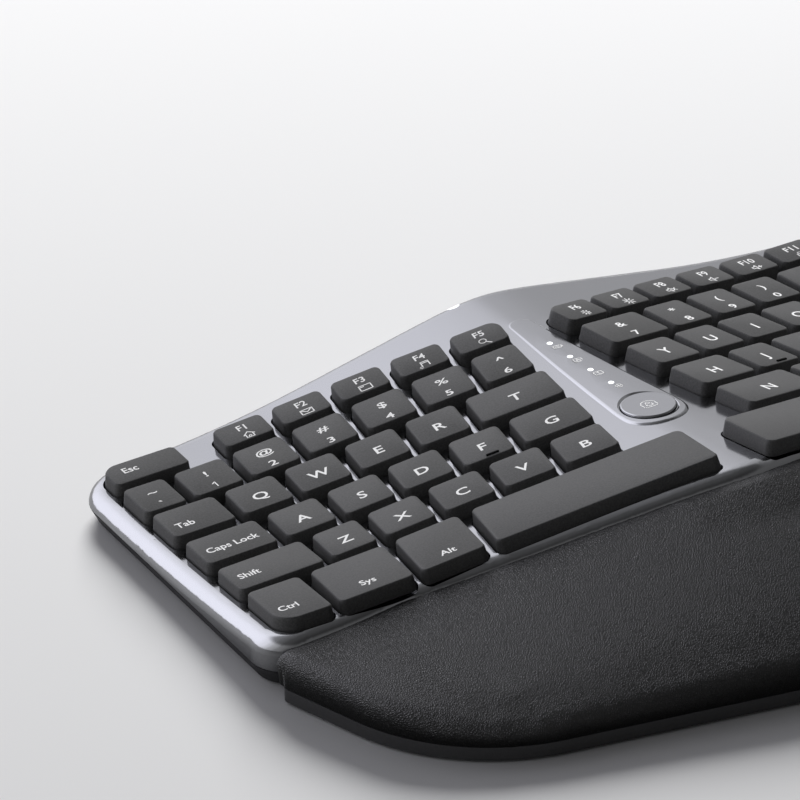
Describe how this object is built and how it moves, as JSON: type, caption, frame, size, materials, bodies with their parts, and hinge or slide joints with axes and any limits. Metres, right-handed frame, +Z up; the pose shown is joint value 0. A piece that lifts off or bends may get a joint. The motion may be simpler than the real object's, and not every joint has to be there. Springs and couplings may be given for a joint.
{
  "type": "ergonomic keyboard",
  "caption": "Split, tented ergonomic keyboard in one glossy case with low keycaps, a round lock button on the spine and a padded palm rest along the front.",
  "frame": {"origin": "on the desk under the centre foot, midway between the two key fields", "axes": "+X to the typist's right, +Y away from the typist, +Z up"},
  "size_m": [0.3258, 0.2141, 0.0423],
  "materials": {
    "keycaps": "fine satin texture with printed pale legends",
    "cover_gloss": "glossy silver-grey metallic paint look",
    "case_texture": "dark grey fine spark texture",
    "base_plastic": "black satin plastic",
    "pad_leather": "black pebbled leatherette",
    "plate_metal": "plain sheet",
    "dome_rubber": "translucent silicone",
    "membrane_film": "clear printed film",
    "back_steel": "plain sheet steel",
    "board": "green laminate",
    "screw_steel": "plated",
    "battery_wrap": "foil wrap",
    "socket_steel": "formed shell",
    "lens": "milky white light guides",
    "foot_rubber": "matt black",
    "button_gloss": "as the cover",
    "switch_plastic": "black"
  },
  "bodies": {
    "housing": {"top_cover": "cover_gloss", "bottom_case": "case_texture", "palm_rest_base": "base_plastic", "palm_rest_floor": "base_plastic", "palm_pad": "pad_leather", "left_key_plate": "plate_metal", "right_key_plate": "plate_metal", "dome_mats": "dome_rubber", "membrane_sheets": "membrane_film", "back_plates": "back_steel", "controller_board": "board", "battery": "battery_wrap", "charging_socket": "socket_steel", "indicator_lenses": "lens", "rubber_feet": "foot_rubber", "housing_screws": "screw_steel"},
    "key_f5": {"key_f5": "keycaps"},
    "key_f4": {"key_f4": "keycaps"},
    "key_f3": {"key_f3": "keycaps"},
    "key_f2": {"key_f2": "keycaps"},
    "key_f1": {"key_f1": "keycaps"},
    "key_escape": {"key_escape": "keycaps"},
    "key_6": {"key_6": "keycaps"},
    "key_5": {"key_5": "keycaps"},
    "key_4": {"key_4": "keycaps"},
    "key_3": {"key_3": "keycaps"},
    "key_2": {"key_2": "keycaps"},
    "key_1": {"key_1": "keycaps"},
    "key_grave": {"key_grave": "keycaps"},
    "key_t": {"key_t": "keycaps"},
    "key_r": {"key_r": "keycaps"},
    "key_e": {"key_e": "keycaps"},
    "key_w": {"key_w": "keycaps"},
    "key_q": {"key_q": "keycaps"},
    "key_tab": {"key_tab": "keycaps"},
    "key_g": {"key_g": "keycaps"},
    "key_f": {"key_f": "keycaps"},
    "key_d": {"key_d": "keycaps"},
    "key_s": {"key_s": "keycaps"},
    "key_a": {"key_a": "keycaps"},
    "key_caps_lock": {"key_caps_lock": "keycaps"},
    "key_b": {"key_b": "keycaps"},
    "key_v": {"key_v": "keycaps"},
    "key_c": {"key_c": "keycaps"},
    "key_x": {"key_x": "keycaps"},
    "key_z": {"key_z": "keycaps"},
    "key_left_shift": {"key_left_shift": "keycaps"},
    "left_space_bar": {"left_space_bar": "keycaps"},
    "key_left_alt": {"key_left_alt": "keycaps"},
    "key_system": {"key_system": "keycaps"},
    "key_left_control": {"key_left_control": "keycaps"},
    "right_function_keys": {"right_function_keys": "keycaps"},
    "right_number_keys": {"right_number_keys": "keycaps"},
    "right_top_letter_keys": {"right_top_letter_keys": "keycaps"},
    "right_home_letter_keys": {"right_home_letter_keys": "keycaps"},
    "right_lower_letter_keys": {"right_lower_letter_keys": "keycaps"},
    "right_space_bar": {"right_space_bar": "keycaps"},
    "right_bottom_keys": {"right_bottom_keys": "keycaps"},
    "lock_button": {"lock_button": "button_gloss"},
    "power_switch": {"power_switch": "switch_plastic"}
  },
  "joints": [
    {"name": "key_f5_press", "type": "slide", "parent": "housing", "child": "key_f5", "axis": [0.1854, -0.03, -0.9822], "range_m": [0, 0.0018], "stiffness_N_per_m": 220, "deforming": ["dome_mats"]},
    {"name": "key_f4_press", "type": "slide", "parent": "housing", "child": "key_f4", "axis": [0.1854, -0.03, -0.9822], "range_m": [0, 0.0018], "stiffness_N_per_m": 220, "deforming": ["dome_mats"]},
    {"name": "key_f3_press", "type": "slide", "parent": "housing", "child": "key_f3", "axis": [0.1853, -0.0302, -0.9822], "range_m": [0, 0.0018], "stiffness_N_per_m": 220, "deforming": ["dome_mats"]},
    {"name": "key_f2_press", "type": "slide", "parent": "housing", "child": "key_f2", "axis": [0.1696, -0.0277, -0.9851], "range_m": [0, 0.0018], "stiffness_N_per_m": 220, "deforming": ["dome_mats"]},
    {"name": "key_f1_press", "type": "slide", "parent": "housing", "child": "key_f1", "axis": [0.1225, -0.0193, -0.9923], "range_m": [0, 0.0018], "stiffness_N_per_m": 220, "deforming": ["dome_mats"]},
    {"name": "key_escape_press", "type": "slide", "parent": "housing", "child": "key_escape", "axis": [0.0402, -0.0063, -0.9992], "range_m": [0, 0.0018], "stiffness_N_per_m": 220, "deforming": ["dome_mats"]},
    {"name": "key_6_press", "type": "slide", "parent": "housing", "child": "key_6", "axis": [0.182, -0.0463, -0.9822], "range_m": [0, 0.0018], "stiffness_N_per_m": 220, "deforming": ["dome_mats"]},
    {"name": "key_5_press", "type": "slide", "parent": "housing", "child": "key_5", "axis": [0.182, -0.0463, -0.9822], "range_m": [0, 0.0018], "stiffness_N_per_m": 220, "deforming": ["dome_mats"]},
    {"name": "key_4_press", "type": "slide", "parent": "housing", "child": "key_4", "axis": [0.182, -0.0464, -0.9822], "range_m": [0, 0.0018], "stiffness_N_per_m": 220, "deforming": ["dome_mats"]},
    {"name": "key_3_press", "type": "slide", "parent": "housing", "child": "key_3", "axis": [0.1689, -0.0445, -0.9846], "range_m": [0, 0.0018], "stiffness_N_per_m": 220, "deforming": ["dome_mats"]},
    {"name": "key_2_press", "type": "slide", "parent": "housing", "child": "key_2", "axis": [0.1218, -0.0362, -0.9919], "range_m": [0, 0.0018], "stiffness_N_per_m": 220, "deforming": ["dome_mats"]},
    {"name": "key_1_press", "type": "slide", "parent": "housing", "child": "key_1", "axis": [0.0738, -0.0284, -0.9969], "range_m": [0, 0.0018], "stiffness_N_per_m": 220, "deforming": ["dome_mats"]},
    {"name": "key_grave_press", "type": "slide", "parent": "housing", "child": "key_grave", "axis": [0.0286, -0.0216, -0.9994], "range_m": [0, 0.0018], "stiffness_N_per_m": 220, "deforming": ["dome_mats"]},
    {"name": "key_t_press", "type": "slide", "parent": "housing", "child": "key_t", "axis": [0.1781, -0.0645, -0.9819], "range_m": [0, 0.0018], "stiffness_N_per_m": 220, "deforming": ["dome_mats"]},
    {"name": "key_r_press", "type": "slide", "parent": "housing", "child": "key_r", "axis": [0.1781, -0.0645, -0.9819], "range_m": [0, 0.0018], "stiffness_N_per_m": 220, "deforming": ["dome_mats"]},
    {"name": "key_e_press", "type": "slide", "parent": "housing", "child": "key_e", "axis": [0.1781, -0.0647, -0.9819], "range_m": [0, 0.0018], "stiffness_N_per_m": 220, "deforming": ["dome_mats"]},
    {"name": "key_w_press", "type": "slide", "parent": "housing", "child": "key_w", "axis": [0.1421, -0.0581, -0.9881], "range_m": [0, 0.0018], "stiffness_N_per_m": 220, "deforming": ["dome_mats"]},
    {"name": "key_q_press", "type": "slide", "parent": "housing", "child": "key_q", "axis": [0.0946, -0.0499, -0.9943], "range_m": [0, 0.0018], "stiffness_N_per_m": 220, "deforming": ["dome_mats"]},
    {"name": "key_tab_press", "type": "slide", "parent": "housing", "child": "key_tab", "axis": [0.0409, -0.0412, -0.9983], "range_m": [0, 0.0018], "stiffness_N_per_m": 220, "deforming": ["dome_mats"]},
    {"name": "key_g_press", "type": "slide", "parent": "housing", "child": "key_g", "axis": [0.1742, -0.0827, -0.9812], "range_m": [0, 0.0018], "stiffness_N_per_m": 220, "deforming": ["dome_mats"]},
    {"name": "key_f_press", "type": "slide", "parent": "housing", "child": "key_f", "axis": [0.1742, -0.0827, -0.9812], "range_m": [0, 0.0018], "stiffness_N_per_m": 220, "deforming": ["dome_mats"]},
    {"name": "key_d_press", "type": "slide", "parent": "housing", "child": "key_d", "axis": [0.1741, -0.0829, -0.9812], "range_m": [0, 0.0018], "stiffness_N_per_m": 220, "deforming": ["dome_mats"]},
    {"name": "key_s_press", "type": "slide", "parent": "housing", "child": "key_s", "axis": [0.1535, -0.0795, -0.9849], "range_m": [0, 0.0018], "stiffness_N_per_m": 220, "deforming": ["dome_mats"]},
    {"name": "key_a_press", "type": "slide", "parent": "housing", "child": "key_a", "axis": [0.1062, -0.0715, -0.9918], "range_m": [0, 0.0018], "stiffness_N_per_m": 220, "deforming": ["dome_mats"]},
    {"name": "key_caps_lock_press", "type": "slide", "parent": "housing", "child": "key_caps_lock", "axis": [0.0486, -0.0624, -0.9969], "range_m": [0, 0.0018], "stiffness_N_per_m": 220, "deforming": ["dome_mats"]},
    {"name": "key_b_press", "type": "slide", "parent": "housing", "child": "key_b", "axis": [0.1702, -0.1009, -0.9802], "range_m": [0, 0.0018], "stiffness_N_per_m": 220, "deforming": ["dome_mats"]},
    {"name": "key_v_press", "type": "slide", "parent": "housing", "child": "key_v", "axis": [0.1702, -0.1009, -0.9802], "range_m": [0, 0.0018], "stiffness_N_per_m": 220, "deforming": ["dome_mats"]},
    {"name": "key_c_press", "type": "slide", "parent": "housing", "child": "key_c", "axis": [0.1702, -0.101, -0.9802], "range_m": [0, 0.0018], "stiffness_N_per_m": 220, "deforming": ["dome_mats"]},
    {"name": "key_x_press", "type": "slide", "parent": "housing", "child": "key_x", "axis": [0.1624, -0.1003, -0.9816], "range_m": [0, 0.0018], "stiffness_N_per_m": 220, "deforming": ["dome_mats"]},
    {"name": "key_z_press", "type": "slide", "parent": "housing", "child": "key_z", "axis": [0.1175, -0.0928, -0.9887], "range_m": [0, 0.0018], "stiffness_N_per_m": 220, "deforming": ["dome_mats"]},
    {"name": "key_left_shift_press", "type": "slide", "parent": "housing", "child": "key_left_shift", "axis": [0.0575, -0.0835, -0.9949], "range_m": [0, 0.0018], "stiffness_N_per_m": 220, "deforming": ["dome_mats"]},
    {"name": "left_space_bar_press", "type": "slide", "parent": "housing", "child": "left_space_bar", "axis": [0.1652, -0.1231, -0.9785], "range_m": [0, 0.0018], "stiffness_N_per_m": 220, "deforming": ["dome_mats"]},
    {"name": "key_left_alt_press", "type": "slide", "parent": "housing", "child": "key_left_alt", "axis": [0.1649, -0.1234, -0.9786], "range_m": [0, 0.0018], "stiffness_N_per_m": 220, "deforming": ["dome_mats"]},
    {"name": "key_system_press", "type": "slide", "parent": "housing", "child": "key_system", "axis": [0.1049, -0.1129, -0.988], "range_m": [0, 0.0018], "stiffness_N_per_m": 220, "deforming": ["dome_mats"]},
    {"name": "key_left_control_press", "type": "slide", "parent": "housing", "child": "key_left_control", "axis": [0.0468, -0.1036, -0.9935], "range_m": [0, 0.0018], "stiffness_N_per_m": 220, "deforming": ["dome_mats"]},
    {"name": "right_function_keys_press", "type": "slide", "parent": "housing", "child": "right_function_keys", "axis": [-0.1261, -0.0224, -0.9918], "range_m": [0, 0.0018], "stiffness_N_per_m": 1760, "deforming": ["dome_mats"]},
    {"name": "right_number_keys_press", "type": "slide", "parent": "housing", "child": "right_number_keys", "axis": [-0.1251, -0.0391, -0.9914], "range_m": [0, 0.0018], "stiffness_N_per_m": 1540, "deforming": ["dome_mats"]},
    {"name": "right_top_letter_keys_press", "type": "slide", "parent": "housing", "child": "right_top_letter_keys", "axis": [-0.1149, -0.056, -0.9918], "range_m": [0, 0.0018], "stiffness_N_per_m": 1760, "deforming": ["dome_mats"]},
    {"name": "right_home_letter_keys_press", "type": "slide", "parent": "housing", "child": "right_home_letter_keys", "axis": [-0.1207, -0.0762, -0.9898], "range_m": [0, 0.0018], "stiffness_N_per_m": 1540, "deforming": ["dome_mats"]},
    {"name": "right_lower_letter_keys_press", "type": "slide", "parent": "housing", "child": "right_lower_letter_keys", "axis": [-0.1218, -0.0955, -0.988], "range_m": [0, 0.0018], "stiffness_N_per_m": 1320, "deforming": ["dome_mats"]},
    {"name": "right_space_bar_press", "type": "slide", "parent": "housing", "child": "right_space_bar", "axis": [-0.1647, -0.1255, -0.9783], "range_m": [0, 0.0018], "stiffness_N_per_m": 220, "deforming": ["dome_mats"]},
    {"name": "right_bottom_keys_press", "type": "slide", "parent": "housing", "child": "right_bottom_keys", "axis": [-0.0651, -0.1085, -0.992], "range_m": [0, 0.0018], "stiffness_N_per_m": 1320, "deforming": ["dome_mats"]},
    {"name": "lock_button_press", "type": "slide", "parent": "housing", "child": "lock_button", "axis": [0, -0.0938, -0.9956], "range_m": [0, 0.0012], "stiffness_N_per_m": 400},
    {"name": "power_switch_slide", "type": "slide", "parent": "housing", "child": "power_switch", "axis": [1, 0, 0], "range_m": [0, 0.003]}
  ]
}
